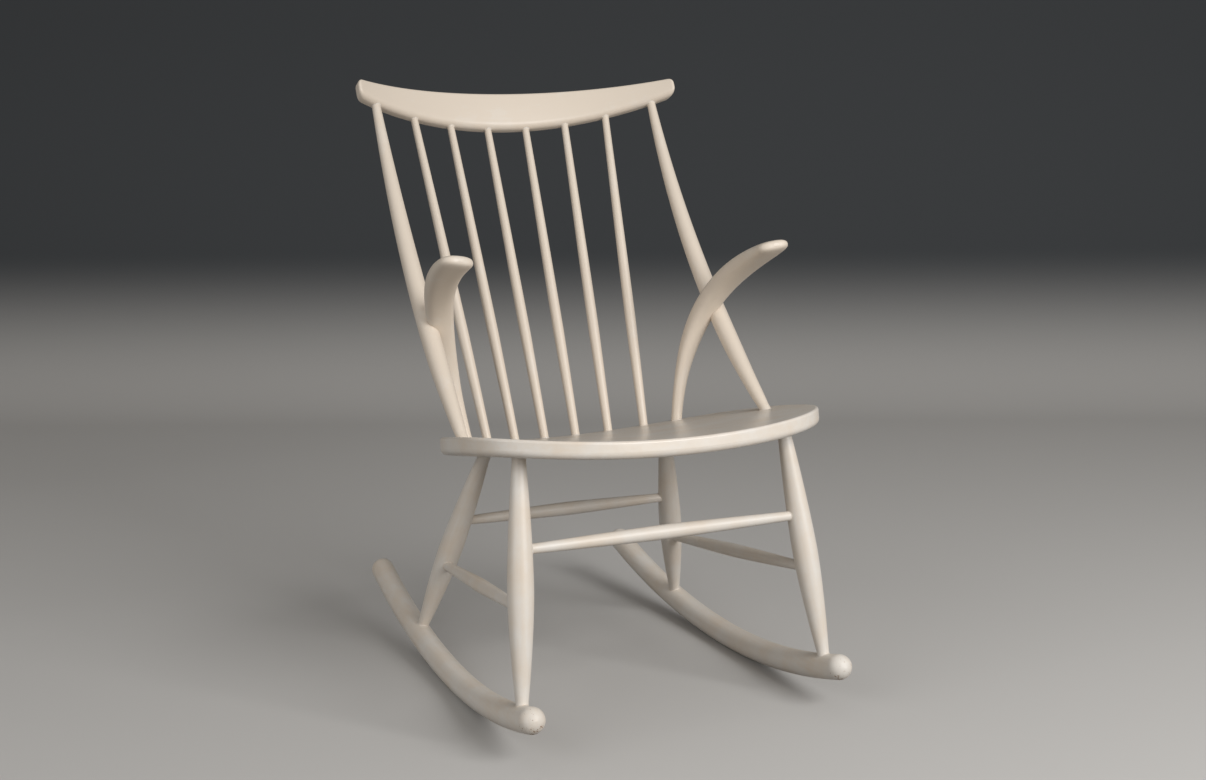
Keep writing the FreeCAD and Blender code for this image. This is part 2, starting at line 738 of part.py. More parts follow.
def main():
    os.makedirs("parts", exist_ok=True)
    for name, shape in make_pieces().items():
        shape.exportStep("parts/" + name + ".step")
        print(name, shape.isValid(), len(shape.Solids), shape.optimalBoundingBox(False))


main()
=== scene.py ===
import json
import math

import bmesh
import bpy
import numpy as np
from mathutils import Matrix, Vector

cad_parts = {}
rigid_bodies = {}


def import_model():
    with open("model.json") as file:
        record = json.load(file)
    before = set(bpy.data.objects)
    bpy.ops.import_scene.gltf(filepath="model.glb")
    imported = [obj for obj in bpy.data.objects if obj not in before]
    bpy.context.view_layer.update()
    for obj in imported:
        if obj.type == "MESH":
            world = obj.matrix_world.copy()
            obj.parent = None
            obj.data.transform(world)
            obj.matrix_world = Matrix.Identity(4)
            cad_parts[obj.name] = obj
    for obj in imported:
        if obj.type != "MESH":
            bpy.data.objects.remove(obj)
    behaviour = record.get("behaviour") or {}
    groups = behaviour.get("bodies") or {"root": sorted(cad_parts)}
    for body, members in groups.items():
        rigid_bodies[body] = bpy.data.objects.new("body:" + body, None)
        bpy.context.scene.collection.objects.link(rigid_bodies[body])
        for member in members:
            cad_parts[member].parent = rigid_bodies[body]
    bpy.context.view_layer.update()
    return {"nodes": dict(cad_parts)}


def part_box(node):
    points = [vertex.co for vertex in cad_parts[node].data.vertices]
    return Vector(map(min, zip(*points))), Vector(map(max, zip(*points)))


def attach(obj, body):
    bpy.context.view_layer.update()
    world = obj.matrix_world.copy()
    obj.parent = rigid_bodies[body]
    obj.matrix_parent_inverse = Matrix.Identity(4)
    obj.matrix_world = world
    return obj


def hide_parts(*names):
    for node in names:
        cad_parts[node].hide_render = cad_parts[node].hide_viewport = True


bl_info = {
    "name": "Spindle-back Rocking Chair",
    "version": (1, 0, 0),
    "blender": (4, 5, 0),
    "location": "3D View > Sidebar > Chair",
    "description": "Dresses a painted rocking chair: turnings, paint, wear and the paint in its joints",
    "category": "Object",
}

for startup_object in list(bpy.data.objects):
    bpy.data.objects.remove(startup_object)

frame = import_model()
NODES = frame["nodes"]

MM = 0.001
BODY = "root"

UP = Vector((0, 0, 1))
DOWN = Vector((0, 0, -1))
LEFT = Vector((1, 0, 0))
RIGHT = Vector((-1, 0, 0))
FRONT = Vector((0, -1, 0))
REAR = Vector((0, 1, 0))

# Places of the sockets on Blender's colour mix node
MIX_FACTOR, MIX_A, MIX_B, MIX_RESULT = 0, 6, 7, 2


# Measures taken from the frame

TIP_SEARCH = 12 * MM
TENON_CHAMFER = 1 * MM


def face_arrays(node):
    """Centres, normals and areas of a node's faces."""
    faces = NODES[node].data.polygons
    centres = np.empty(len(faces) * 3)
    normals = np.empty(len(faces) * 3)
    areas = np.empty(len(faces))
    faces.foreach_get("center", centres)
    faces.foreach_get("normal", normals)
    faces.foreach_get("area", areas)
    return centres.reshape(-1, 3), normals.reshape(-1, 3), areas


def point_array(node):
    points = np.empty(len(NODES[node].data.vertices) * 3)
    NODES[node].data.vertices.foreach_get("co", points)
    return points.reshape(-1, 3)


def flat_tip(node, way):
    """Centre, outward direction and radius of the flat end that a tenon has on one side of its piece."""
    centres, normals, areas = face_arrays(node)
    reach = centres @ np.array(way)
    groups = {}
    for index in np.flatnonzero(reach > reach.max() - TIP_SEARCH):
        groups.setdefault(tuple(np.round(normals[index], 3)), []).append(index)
    cap = max(groups.values(), key=lambda members: areas[members].sum())
    area = areas[cap].sum()
    centre = (centres[cap] * areas[cap][:, None]).sum(axis=0) / area
    return Vector(centre), Vector(normals[cap[0]]).normalized(), math.sqrt(area / math.pi)


def turning_measures(node, way):
    """Diameters of a turning at its foot, at its belly and at its head."""
    foot, axis, foot_radius = flat_tip(node, -way)
    head, axis, head_radius = flat_tip(node, way)
    along = np.array((head - foot).normalized())
    away = point_array(node) - np.array(foot)
    across = away - np.outer(away @ along, along)
    belly_radius = np.linalg.norm(across, axis=1).max()
    return 2 * (foot_radius + TENON_CHAMFER), 2 * belly_radius, 2 * (head_radius + TENON_CHAMFER)


LEG_FOOT, LEG_BELLY, LEG_HEAD = turning_measures("front_leg_left", UP)
SPINDLE_FOOT, SPINDLE_BELLY, SPINDLE_HEAD = turning_measures("spindle_1", UP)
STRETCHER_END, STRETCHER_BELLY, STRETCHER_FAR_END = turning_measures("front_stretcher", LEFT)


# What a user may change

def length(name, description, default):
    return bpy.props.FloatProperty(
        name=name, description=description, default=default, min=0, precision=5, unit="LENGTH"
    )


def share(name, description, default):
    return bpy.props.FloatProperty(
        name=name, description=description, default=default, min=0, max=1, subtype="FACTOR"
    )


def colour(name, description, default):
    return bpy.props.FloatVectorProperty(
        name=name, description=description, default=default, size=3, min=0, max=1, subtype="COLOR"
    )


def curve_power(description, default):
    return bpy.props.FloatProperty(name="Curve", description=description, default=default, min=1, max=4)


def degrees(name, description, default):
    return bpy.props.FloatProperty(
        name=name, description=description, default=math.radians(default), subtype="ANGLE"
    )


def watts(name, description, default):
    return bpy.props.FloatProperty(
        name=name, description=description, default=default, min=0, unit="POWER"
    )


class LegSizes(bpy.types.PropertyGroup):
    foot: length("Foot", "Diameter of the tenon in the rocker", LEG_FOOT)
    belly: length("Belly", "Diameter at the thickest place", LEG_BELLY)
    head: length("Head", "Diameter of the tenon in the seat", LEG_HEAD)
    foot_tenon: length("Foot tenon", "Straight length at the foot, from the tip", 19.7 * MM)
    head_tenon: length("Head tenon", "Straight length at the head, from the tip", 24.7 * MM)
    belly_share: share("Belly place", "Place of the belly, as a share of the swelled length", 0.46)
    curve: curve_power("How late the leg thins towards its ends", 1.6)


class StretcherSizes(bpy.types.PropertyGroup):
    foot: length("First end", "Diameter of the tenon in the first leg", STRETCHER_END)
    belly: length("Belly", "Diameter at the thickest place", STRETCHER_BELLY)
    head: length("Second end", "Diameter of the tenon in the second leg", STRETCHER_FAR_END)
    foot_tenon: length("First tenon", "Straight length at the first end, from the tip", 18.7 * MM)
    head_tenon: length("Second tenon", "Straight length at the second end, from the tip", 18.7 * MM)
    belly_share: share("Belly place", "Place of the belly, as a share of the swelled length", 0.5)
    curve: curve_power("How late the stretcher thins towards its ends", 1.3)


class SpindleSizes(bpy.types.PropertyGroup):
    foot: length("Foot", "Diameter of the tenon in the seat", SPINDLE_FOOT)
    belly: length("Belly", "Diameter at the thickest place", SPINDLE_BELLY)
    head: length("Head", "Diameter of the tenon in the crest rail", SPINDLE_HEAD)
    foot_tenon: length("Foot tenon", "Straight length at the foot, from the tip", 21.7 * MM)
    head_tenon: length("Head tenon", "Straight length at the head, from the tip", 25.7 * MM)
    belly_share: share("Belly place", "Place of the belly, as a share of the swelled length", 0.33)
    curve: curve_power("How late the spindle thins towards its ends", 1.2)


class CrestSizes(bpy.types.PropertyGroup):
    thickness: length("Thickness", "Thickness of the rail", 23 * MM)
    height: length("Height", "Depth of the rail in the middle", 65.6 * MM)
    bend: length("Bend", "Radius of the bend, in the middle of the thickness", 482 * MM)
    under_rise: length("Lower edge", "Rise of the lower edge from the middle to the end", 20.6 * MM)
    top_drop: length("Upper edge", "Drop of the upper edge from the middle to the end", 15.6 * MM)
    end_round: length("End round", "Round at the corners of the ends", 10 * MM)
    edge_round: length("Edge round", "Round along the upper and rear edges", 4 * MM)
    end_edge_round: length("End edges", "Round along the edges of the end faces", 7 * MM)
    soft_round: length("Soft round", "Round along the lower front edge", 12 * MM)
    lean: degrees("Lean", "Angle by which the rail leans back", 24.4)


class PaintLook(bpy.types.PropertyGroup):
    clean: colour("Paint", "Colour of clean paint", (0.76, 0.71, 0.645))
    # The film goes towards this colour for yellowing, and on the spindles, crest rail, posts and arms also
    # as painted shade
    warm: colour("Aged paint", "Colour where the paint has yellowed", (0.73, 0.635, 0.53))
    # Colour that the ambient occlusion mask lays into corners: dirt, and painted shade
    dirt_and_shade: colour("Dirt", "Colour of the dirt in corners", (0.3, 0.25, 0.2))
    wood: colour("Bare wood", "Colour of the wood under chips", (0.3, 0.17, 0.09))
    gloss: share("Roughness", "Roughness of the satin paint", 0.42)
    seat_gloss: share("Seat roughness", "Roughness of the seat, which use has polished", 0.3)
    bead: length("Joint paint", "Width of the paint fillet round a joint", 1.3 * MM)
    uneven: length("Unevenness", "Height of the lumps on a hand-finished turning", 0.12 * MM)


class StageLook(bpy.types.PropertyGroup):
    floor: colour("Floor", "Colour of the floor as the camera sees it", (0.56, 0.545, 0.525))
    backdrop: colour("Backdrop", "Colour of the backdrop as the camera sees it", (0.075, 0.08, 0.085))
    key: watts("Key light", "Power of the main light in watts", 103)
    fill: watts("Fill light", "Power of the second light in watts", 25)
    ambient: share("Ambient", "Strength of the light from all round", 0.3)


# Node trees

class Wiring:
    """Adds nodes to a tree and joins them, so that a formula reads from top to bottom."""

    def __init__(self, tree):
        self.tree = tree

    def node(self, kind, inputs=None, **settings):
        made = self.tree.nodes.new(kind)
        for name, value in settings.items():
            setattr(made, name, value)
        for name, value in (inputs or {}).items():
            self.feed(made.inputs[name], value)
        return made

    def feed(self, socket, value):
        if isinstance(value, bpy.types.NodeSocket):
            self.tree.links.new(value, socket)
        else:
            socket.default_value = value

    def math(self, operation, *values):
        made = self.node("ShaderNodeMath", operation=operation)
        for socket, value in zip(made.inputs, values):
            self.feed(socket, value)
        return made.outputs["Value"]

    def vector(self, operation, *values):
        made = self.node("ShaderNodeVectorMath", operation=operation)
        for socket, value in zip(made.inputs, values):
            self.feed(socket, value)
        single = operation in ("LENGTH", "DOT_PRODUCT", "DISTANCE")
        return made.outputs["Value" if single else "Vector"]

    def scaled(self, vector, factor):
        made = self.node("ShaderNodeVectorMath", {"Vector": vector, "Scale": factor}, operation="SCALE")
        return made.outputs["Vector"]

    def turned(self, vector, axis):
        """The vector, turned as z is turned to reach the axis."""
        turn = self.node("FunctionNodeAlignRotationToVector", {"Vector": axis}, axis="Z")
        made = self.node("FunctionNodeRotateVector", {"Vector": vector})
        self.feed(made.inputs["Rotation"], turn.outputs["Rotation"])
        return made.outputs["Vector"]

    def combined(self, x, y, z):
        return self.node("ShaderNodeCombineXYZ", {"X": x, "Y": y, "Z": z}).outputs["Vector"]

    def separated(self, vector):
        return self.node("ShaderNodeSeparateXYZ", {"Vector": vector}).outputs

    def noise(self, place, scale, detail=2.0, roughness=0.5):
        made = self.node("ShaderNodeTexNoise", {"Scale": scale, "Detail": detail, "Roughness": roughness})
        self.feed(made.inputs["Vector"], place)
        return made.outputs["Fac"]

    def ranged(self, value, low, high, to_low=0.0, to_high=1.0, smooth=False):
        made = self.node("ShaderNodeMapRange", interpolation_type="SMOOTHSTEP" if smooth else "LINEAR")
        for socket, number in zip(made.inputs, (value, low, high, to_low, to_high)):
            self.feed(socket, number)
        return made.outputs["Result"]

    def bump(self, depth, height):
        return self.node("ShaderNodeBump", {"Strength": 1.0, "Distance": depth, "Height": height})

    def mixed(self, factor, first, second):
        made = self.node("ShaderNodeMix", data_type="RGBA")
        self.feed(made.inputs[MIX_FACTOR], factor)
        self.feed(made.inputs[MIX_A], first)
        self.feed(made.inputs[MIX_B], second)
        return made.outputs[MIX_RESULT]


SOCKET_KINDS = {
    "number": "NodeSocketFloat",
    "count": "NodeSocketInt",
    "vector": "NodeSocketVector",
    "colour": "NodeSocketColor",
    "object": "NodeSocketObject",
    "material": "NodeSocketMaterial",
    "geometry": "NodeSocketGeometry",
}


def new_group(name, kind, inputs, outputs):
    """An empty node group with named inputs and outputs, its wiring, and its inputs by name."""
    tree = bpy.data.node_groups.new(name, kind)
    for label, socket in inputs.items():
        tree.interface.new_socket(label, in_out="INPUT", socket_type=SOCKET_KINDS[socket])
    for label, socket in outputs.items():
        tree.interface.new_socket(label, in_out="OUTPUT", socket_type=SOCKET_KINDS[socket])
    wiring = Wiring(tree)
    return tree, wiring, wiring.node("NodeGroupInput").outputs


# Geometry trees

PLACE = "piece_place"


def place_kept(wire, mesh, place):
    """The mesh with each point's place along its own piece kept for the paint."""
    made = wire.node("GeometryNodeStoreNamedAttribute", {"Name": PLACE}, data_type="FLOAT_VECTOR")
    wire.feed(made.inputs["Geometry"], mesh)
    wire.feed(made.inputs["Value"], place)
    return made.outputs["Geometry"]


def finish_tree(wire, geometry, material):
    """Ends a tree with a real mesh that has its material."""
    real = wire.node("GeometryNodeRealizeInstances", {"Geometry": geometry})
    painted = wire.node("GeometryNodeSetMaterial", {"Geometry": real.outputs[0], "Material": material})
    wire.node("NodeGroupOutput", {"Geometry": painted.outputs[0]})


LUMPS_PER_METRE = 32.0


def build_turning_tree():
    """A swelled turning between two tips, with straight tenons and chamfered ends."""
    inputs = {
        "Start": "vector",
        "End": "vector",
        "Foot": "number",
        "Belly": "number",
        "Head": "number",
        "Foot Tenon": "number",
        "Head Tenon": "number",
        "Belly Share": "number",
        "Curve": "number",
        "Chamfer": "number",
        "Unevenness": "number",
        "Seed": "number",
        "Rings": "count",
        "Sides": "count",
        "Material": "material",
    }
    tree, wire, given = new_group("Turned piece", "GeometryNodeTree", inputs, {"Geometry": "geometry"})
    rod = wire.node("GeometryNodeMeshCylinder", {"Radius": 1.0, "Depth": 1.0}, fill_type="NGON")
    wire.feed(rod.inputs["Vertices"], given["Sides"])
    wire.feed(rod.inputs["Side Segments"], given["Rings"])
    place = wire.separated(wire.node("GeometryNodeInputPosition").outputs["Position"])
    axis = wire.vector("SUBTRACT", given["End"], given["Start"])
    total = wire.vector("LENGTH", axis)
    part = wire.math("ADD", place["Z"], 0.5)
    from_start = wire.math("MULTIPLY", part, total)
    from_end = wire.math("SUBTRACT", total, from_start)

    swelled = wire.math("SUBTRACT", wire.math("SUBTRACT", total, given["Foot Tenon"]), given["Head Tenon"])
    above_foot = wire.math("SUBTRACT", from_start, given["Foot Tenon"])
    along = wire.ranged(wire.math("DIVIDE", above_foot, swelled), 0.0, 1.0)
    belly = given["Belly Share"]
    to_foot = wire.math("MAXIMUM", wire.math("DIVIDE", wire.math("SUBTRACT", belly, along), belly), 0.0)
    past_belly = wire.math("SUBTRACT", along, belly)
    to_head = wire.math("MAXIMUM", wire.math("DIVIDE", past_belly, wire.math("SUBTRACT", 1.0, belly)), 0.0)
    foot_taper = wire.math("SUBTRACT", given["Belly"], given["Foot"])
    foot_loss = wire.math("MULTIPLY", wire.math("POWER", to_foot, given["Curve"]), foot_taper)
    head_taper = wire.math("SUBTRACT", given["Belly"], given["Head"])
    head_loss = wire.math("MULTIPLY", wire.math("POWER", to_head, given["Curve"]), head_taper)
    diameter = wire.math("SUBTRACT", wire.math("SUBTRACT", given["Belly"], foot_loss), head_loss)
    radius = wire.math("DIVIDE", diameter, 2.0)
    near_tip = wire.math("MINIMUM", from_start, from_end)
    cut = wire.math("MAXIMUM", wire.math("SUBTRACT", given["Chamfer"], near_tip), 0.0)
    radius = wire.math("SUBTRACT", radius, cut)

    circle = wire.combined(place["X"], place["Y"], 0.0)
    flat = wire.scaled(circle, radius)
    straight = wire.vector("ADD", flat, wire.combined(0.0, 0.0, from_start))
    seeded = wire.vector("ADD", straight, wire.combined(given["Seed"], 0.0, 0.0))
    lumps = wire.math("SUBTRACT", wire.noise(seeded, LUMPS_PER_METRE), 0.5)
    bare = wire.math("MULTIPLY", wire.math("SUBTRACT", 1.0, to_foot), wire.math("SUBTRACT", 1.0, to_head))
    lump = wire.math("MULTIPLY", wire.math("MULTIPLY", lumps, given["Unevenness"]), wire.math("SQRT", bare))
    flat = wire.scaled(flat, wire.math("ADD", 1.0, wire.math("DIVIDE", lump, radius)))

    on_axis = wire.vector("ADD", given["Start"], wire.scaled(axis, part))
    final = wire.vector("ADD", on_axis, wire.turned(flat, axis))

    marked = place_kept(wire, rod.outputs["Mesh"], seeded)
    moved = wire.node("GeometryNodeSetPosition", {"Geometry": marked, "Position": final})
    smooth = wire.node("GeometryNodeSetShadeSmooth", {"Geometry": moved.outputs[0]})
    wire.feed(smooth.inputs["Selection"], rod.outputs["Side"])
    finish_tree(wire, smooth.outputs[0], given["Material"])
    return tree


BEAD_SIDES = 48
BEAD_STEPS = 10
BEAD_ARC_SHARE = 0.8
BEAD_BURIED_SHARE = 0.9
BEAD_HALF_STEP_SHARE = 0.05
BEAD_SINK = 0.3 * MM
BEAD_MERGE = 0.01 * MM
BEAD_LEAST_SHARE = 0.65
BEAD_MOST_SHARE = 1.35
BEAD_LUMP_SCALE = 1.6
BEAD_LUMP_LIMITS = (0.3, 0.7)
SOCKET_RIM = 0.4 * MM
RAY_START = 60 * MM
RAY_LENGTH = 200 * MM


def build_joint_paint_tree():
    """A hollow fillet of paint round a tenon, laid on the surface of the piece that carries it."""
    inputs = {
        "Carrier": "object",
        "Tip": "vector",
        "Outward": "vector",
        "Radius": "number",
        "Width": "number",
        "Seed": "number",
        "Material": "material",
    }
    tree, wire, given = new_group("Joint paint", "GeometryNodeTree", inputs, {"Geometry": "geometry"})
    ring = wire.node("GeometryNodeMeshCylinder", {"Radius": 1.0, "Depth": 1.0}, fill_type="NONE")
    wire.feed(ring.inputs["Vertices"], BEAD_SIDES)
    wire.feed(ring.inputs["Side Segments"], BEAD_STEPS)
    place = wire.separated(wire.node("GeometryNodeInputPosition").outputs["Position"])
    step = wire.math("ADD", place["Z"], 0.5)
    closing = wire.math("GREATER_THAN", step, BEAD_BURIED_SHARE + BEAD_HALF_STEP_SHARE)
    beyond_arc = wire.math("GREATER_THAN", step, BEAD_ARC_SHARE + BEAD_HALF_STEP_SHARE)
    buried = wire.math("SUBTRACT", beyond_arc, closing)
    arc = wire.math("MINIMUM", wire.math("DIVIDE", step, BEAD_ARC_SHARE), 1.0)
    arc = wire.math("MULTIPLY", arc, wire.math("SUBTRACT", 1.0, closing))
    angle = wire.math("MULTIPLY", arc, math.pi / 2)

    direction = wire.combined(place["X"], place["Y"], 0.0)
    seeded = wire.vector("ADD", direction, wire.combined(0.0, 0.0, given["Seed"]))
    lumps = wire.noise(seeded, BEAD_LUMP_SCALE)
    uneven = wire.ranged(lumps, *BEAD_LUMP_LIMITS, BEAD_LEAST_SHARE, BEAD_MOST_SHARE)
    width = wire.math("MULTIPLY", given["Width"], uneven)
    inward = wire.math("MULTIPLY", width, wire.math("SINE", angle))
    away = wire.math("SUBTRACT", wire.math("ADD", given["Radius"], width), inward)
    away = wire.math("SUBTRACT", away, wire.math("MULTIPLY", buried, BEAD_SINK))
    rise = wire.math("SUBTRACT", width, wire.math("MULTIPLY", width, wire.math("COSINE", angle)))
    drop = wire.math("MULTIPLY", buried, wire.math("ADD", width, BEAD_SINK))
    rise = wire.math("SUBTRACT", rise, drop)

    radial = wire.turned(direction, given["Outward"])
    clear = wire.math("MAXIMUM", away, wire.math("ADD", given["Radius"], SOCKET_RIM))
    start = wire.vector("ADD", given["Tip"], wire.scaled(given["Outward"], RAY_START))
    source = wire.vector("ADD", start, wire.scaled(radial, clear))
    carrier = wire.node("GeometryNodeObjectInfo", {"Object": given["Carrier"]})
    ray = wire.node("GeometryNodeRaycast", {"Source Position": source, "Ray Length": RAY_LENGTH})
    wire.feed(ray.inputs["Target Geometry"], carrier.outputs["Geometry"])
    wire.feed(ray.inputs["Ray Direction"], wire.scaled(given["Outward"], -1.0))
    fall = wire.math("SUBTRACT", RAY_START, ray.outputs["Hit Distance"])
    base = wire.vector("ADD", given["Tip"], wire.scaled(radial, away))
    final = wire.vector("ADD", base, wire.scaled(given["Outward"], wire.math("ADD", fall, rise)))

    marked = place_kept(wire, ring.outputs["Mesh"], final)
    moved = wire.node("GeometryNodeSetPosition", {"Geometry": marked, "Position": final})
    bead = moved.outputs[0]
    closed = wire.node("GeometryNodeMergeByDistance", {"Geometry": bead, "Distance": BEAD_MERGE})
    smooth = wire.node("GeometryNodeSetShadeSmooth", {"Geometry": closed.outputs[0]})
    finish_tree(wire, smooth.outputs[0], given["Material"])
    return tree


def grown(tree, inputs):
    """The plain mesh that a geometry tree makes from these inputs."""
    holder = bpy.data.objects.new(tree.name, bpy.data.meshes.new(tree.name))
    bpy.context.scene.collection.objects.link(holder)
    modifier = holder.modifiers.new(tree.name, "NODES")
    modifier.node_group = tree
    for item in tree.interface.items_tree:
        if item.in_out == "INPUT":
            modifier[item.identifier] = inputs[item.name]
    depsgraph = bpy.context.evaluated_depsgraph_get()
    made = holder.evaluated_get(depsgraph)
    mesh = bpy.data.meshes.new_from_object(made, preserve_all_data_layers=True, depsgraph=depsgraph)
    bpy.data.objects.remove(holder)
    material = mesh.materials[-1]
    mesh.materials.clear()
    mesh.materials.append(material)
    mesh.polygons.foreach_set("material_index", [0] * len(mesh.polygons))
    return mesh


def joined(meshes, name):
    """One mesh with the faces of several."""
    whole = bmesh.new()
    for mesh in meshes:
        whole.from_mesh(mesh)
    result = bpy.data.meshes.new(name)
    whole.to_mesh(result)
    whole.free()
    result.materials.append(meshes[0].materials[0])
    return result


def new_piece(name, mesh):
    piece = bpy.data.objects.new(name, mesh)
    bpy.context.scene.collection.objects.link(piece)
    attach(piece, BODY)
    return piece


# Paint

def rgba(values):
    return (*values, 1.0)


def empty_material(name):
    """A new material and the wiring of its empty tree."""
    material = bpy.data.materials.new(name)
    material.use_nodes = True
    material.node_tree.nodes.clear()
    return material, Wiring(material.node_tree)


FINE_RIDGE_SHARE = 0.6
BROAD_RIDGE_SHARE = 0.4
BROAD_RIDGE_SCALE = 0.17


def build_brush_group():
    """Fine ridges that a brush leaves along a piece, and broader streaks of tone."""
    inputs = {"Place": "vector", "Width": "number", "Length": "number"}
    outputs = {"Height": "number", "Tone": "number"}
    tree, wire, given = new_group("Brush marks", "ShaderNodeTree", inputs, outputs)
    across = wire.math("DIVIDE", 1.0, given["Width"])
    along = wire.math("DIVIDE", 1.0, given["Length"])
    stretched = wire.vector("MULTIPLY", given["Place"], wire.combined(across, across, along))
    fine = wire.noise(stretched, 1.0, detail=3.0)
    broad = wire.noise(stretched, BROAD_RIDGE_SCALE)
    ridges = wire.math("MULTIPLY", fine, FINE_RIDGE_SHARE)
    height = wire.math("ADD", ridges, wire.math("MULTIPLY", broad, BROAD_RIDGE_SHARE))
    wire.node("NodeGroupOutput", {"Height": height, "Tone": broad})
    return tree


CLOUD_SHARE = 0.75
STREAK_SHARE = 0.25
AGED_LIMITS = (0.38, 0.66)


def build_film_group():
    """The colour of an old paint film, clean in places and yellowed in others, and pushed towards the aged
    colour by the age input, which stands for yellowing and painted shade.
    """
    inputs = {
        "Place": "vector",
        "Clean": "colour",
        "Aged": "colour",
        "Size": "number",
        "Streaks": "number",
        "Age": "number",
    }
    tree, wire, given = new_group("Paint film", "ShaderNodeTree", inputs, {"Color": "colour"})
    cloud = wire.noise(given["Place"], wire.math("DIVIDE", 1.0, given["Size"]), detail=4.0, roughness=0.6)
    streaks = wire.math("MULTIPLY", given["Streaks"], STREAK_SHARE)
    both = wire.math("ADD", wire.math("MULTIPLY", cloud, CLOUD_SHARE), streaks)
    yellowed_and_shaded = wire.math("MINIMUM", wire.math("ADD", wire.ranged(both, *AGED_LIMITS), given["Age"]), 1.0)
    wire.node("NodeGroupOutput", {"Color": wire.mixed(yellowed_and_shaded, given["Clean"], given["Aged"])})
    return tree


# How well a rounded normal matches the plain one, where the edge begins and where it is full
EDGE_LIMITS = (0.995, 0.9)
RUBBED_LIMITS = (0.35, 0.6)


def build_wear_group():
    """Edges rubbed thin, and the few chips where the paint is gone."""
    inputs = {"Place": "vector", "Radius": "number", "Chip Size": "number", "Chips": "number"}
    outputs = {"Rubbed": "number", "Chipped": "number"}
    tree, wire, given = new_group("Edge wear", "ShaderNodeTree", inputs, outputs)
    soft = wire.node("ShaderNodeBevel", {"Radius": given["Radius"]}, samples=4)
    normal = wire.node("ShaderNodeNewGeometry").outputs["Normal"]
    match = wire.vector("DOT_PRODUCT", soft.outputs["Normal"], normal)
    edge = wire.ranged(match, *EDGE_LIMITS)
    size = wire.math("DIVIDE", 1.0, given["Chip Size"])
    spots = wire.noise(given["Place"], size, detail=5.0, roughness=0.65)
    rubbed = wire.math("MULTIPLY", edge, wire.ranged(spots, *RUBBED_LIMITS))
    limit = wire.math("SUBTRACT", 1.0, given["Chips"])
    chip = wire.math("GREATER_THAN", wire.math("MULTIPLY", wire.math("SQRT", edge), spots), limit)
    wire.node("NodeGroupOutput", {"Rubbed": rubbed, "Chipped": chip})
    return tree


HIGH_CHIP_SHARE = 0.85
PIT_LIMITS = (0.48, 0.66)
PIT_BAND_LIMITS = (0.0, 0.4)
CHIP_BAND_LIMITS = (0.05, 0.4)
CHIP_SPOT_SHARE = 0.5
CHIP_PATCH_SHARE = 0.5
CHIP_PATCH_SCALE = 0.3


def build_scuff_group():
    """Pits at both ends of a bar that runs along y, and chips there, most of them low down."""
    inputs = {
        "Place": "vector",
        "Reach": "number",
        "Band": "number",
        "Low": "number",
        "High": "number",
        "Size": "number",
        "Bare": "number",
    }
    outputs = {"Pits": "number", "Chips": "number"}
    tree, wire, given = new_group("End scuffs", "ShaderNodeTree", inputs, outputs)
    parts = wire.separated(given["Place"])
    start = wire.math("SUBTRACT", given["Reach"], given["Band"])
    near = wire.ranged(wire.math("ABSOLUTE", parts["Y"]), start, given["Reach"], smooth=True)
    size = wire.math("DIVIDE", 1.0, given["Size"])
    low = wire.ranged(parts["Z"], given["High"], given["Low"], HIGH_CHIP_SHARE, 1.0)
    spots = wire.noise(given["Place"], size, detail=4.0, roughness=0.7)
    pits = wire.math("MULTIPLY", wire.ranged(spots, *PIT_LIMITS), wire.ranged(near, *PIT_BAND_LIMITS))
    broad = wire.noise(given["Place"], wire.math("MULTIPLY", size, CHIP_PATCH_SCALE))
    patches = wire.math("MULTIPLY", broad, CHIP_PATCH_SHARE)
    mixed = wire.math("ADD", wire.math("MULTIPLY", spots, CHIP_SPOT_SHARE), patches)
    reached = wire.math("MULTIPLY", wire.ranged(near, *CHIP_BAND_LIMITS), low)
    limit = wire.math("SUBTRACT", 1.0, wire.math("MULTIPLY", reached, given["Bare"]))
    wire.node("NodeGroupOutput", {"Pits": pits, "Chips": wire.math("GREATER_THAN", mixed, limit)})
    return tree


CORNER_LIMITS = (0.75, 0.15)
DIRT_SPOTS_PER_METRE = 240.0
DIRT_SPOT_LIMITS = (0.3, 0.65)
THIN_SPOT_SHARE = 0.4


def build_dirt_and_shade_group():
    """Dirt where pieces meet, together with painted shade: an ambient occlusion mask darkens the paint in
    corners and creases, broken up by spots.
    """
    inputs = {"Place": "vector", "Reach": "number", "Amount": "number"}
    tree, wire, given = new_group("Corner dirt", "ShaderNodeTree", inputs, {"Dirt": "number"})
    # Ambient occlusion finds where pieces meet, so the darkening there is painted shade as well as dirt
    sky = wire.node("ShaderNodeAmbientOcclusion", {"Distance": given["Reach"]}, samples=6)
    closed = wire.ranged(sky.outputs["AO"], *CORNER_LIMITS)
    spots = wire.noise(given["Place"], DIRT_SPOTS_PER_METRE, detail=4.0)
    patch = wire.ranged(spots, *DIRT_SPOT_LIMITS, THIN_SPOT_SHARE, 1.0)
    dirt_and_shade = wire.math("MULTIPLY", wire.math("MULTIPLY", closed, patch), given["Amount"])
    wire.node("NodeGroupOutput", {"Dirt": dirt_and_shade})
    return tree


GROUPS = {}


def shader_group(name):
    builders = {
        "brush": build_brush_group,
        "film": build_film_group,
        "wear": build_wear_group,
        "dirt_and_shade": build_dirt_and_shade_group,
        "scuffs": build_scuff_group,
    }
    if name not in GROUPS:
        GROUPS[name] = builders[name]()
    return GROUPS[name]


def placed_group(wire, name, inputs):
    made = wire.node("ShaderNodeGroup", node_tree=shader_group(name))
    for label, value in inputs.items():
        wire.feed(made.inputs[label], value)
    return made.outputs


